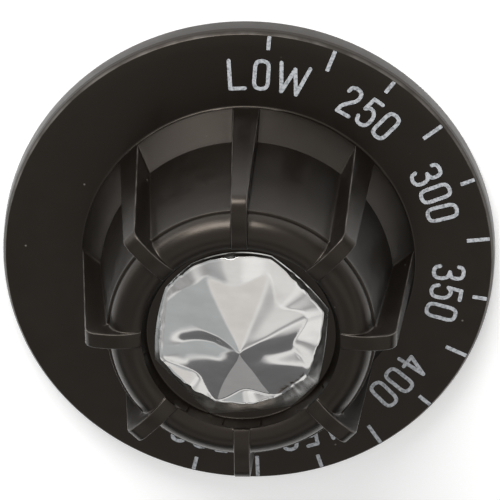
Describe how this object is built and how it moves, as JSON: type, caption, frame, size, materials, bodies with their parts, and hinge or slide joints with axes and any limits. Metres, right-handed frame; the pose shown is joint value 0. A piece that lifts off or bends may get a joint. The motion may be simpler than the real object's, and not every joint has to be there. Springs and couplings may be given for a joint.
{
  "type": "oven control knob",
  "caption": "Round black oven thermostat knob with a flat dial skirt, a finned hub, a bright faceted centre cap and a D-shaft socket behind.",
  "frame": {"origin": "on the shaft axis, level with the back rim of the skirt", "axes": "+Z along the shaft axis from the panel towards the user, +Y to the fin at 12 o'clock"},
  "size_m": [0.064, 0.064, 0.031],
  "materials": {
    "knob_plastic": "satin moulded black",
    "bright_metal": "polished, stamped",
    "spring_steel": "rolled strip"
  },
  "bodies": {
    "root": {"knob_body": "knob_plastic", "centre_cap": "bright_metal", "shaft_spring": "spring_steel"}
  },
  "joints": []
}
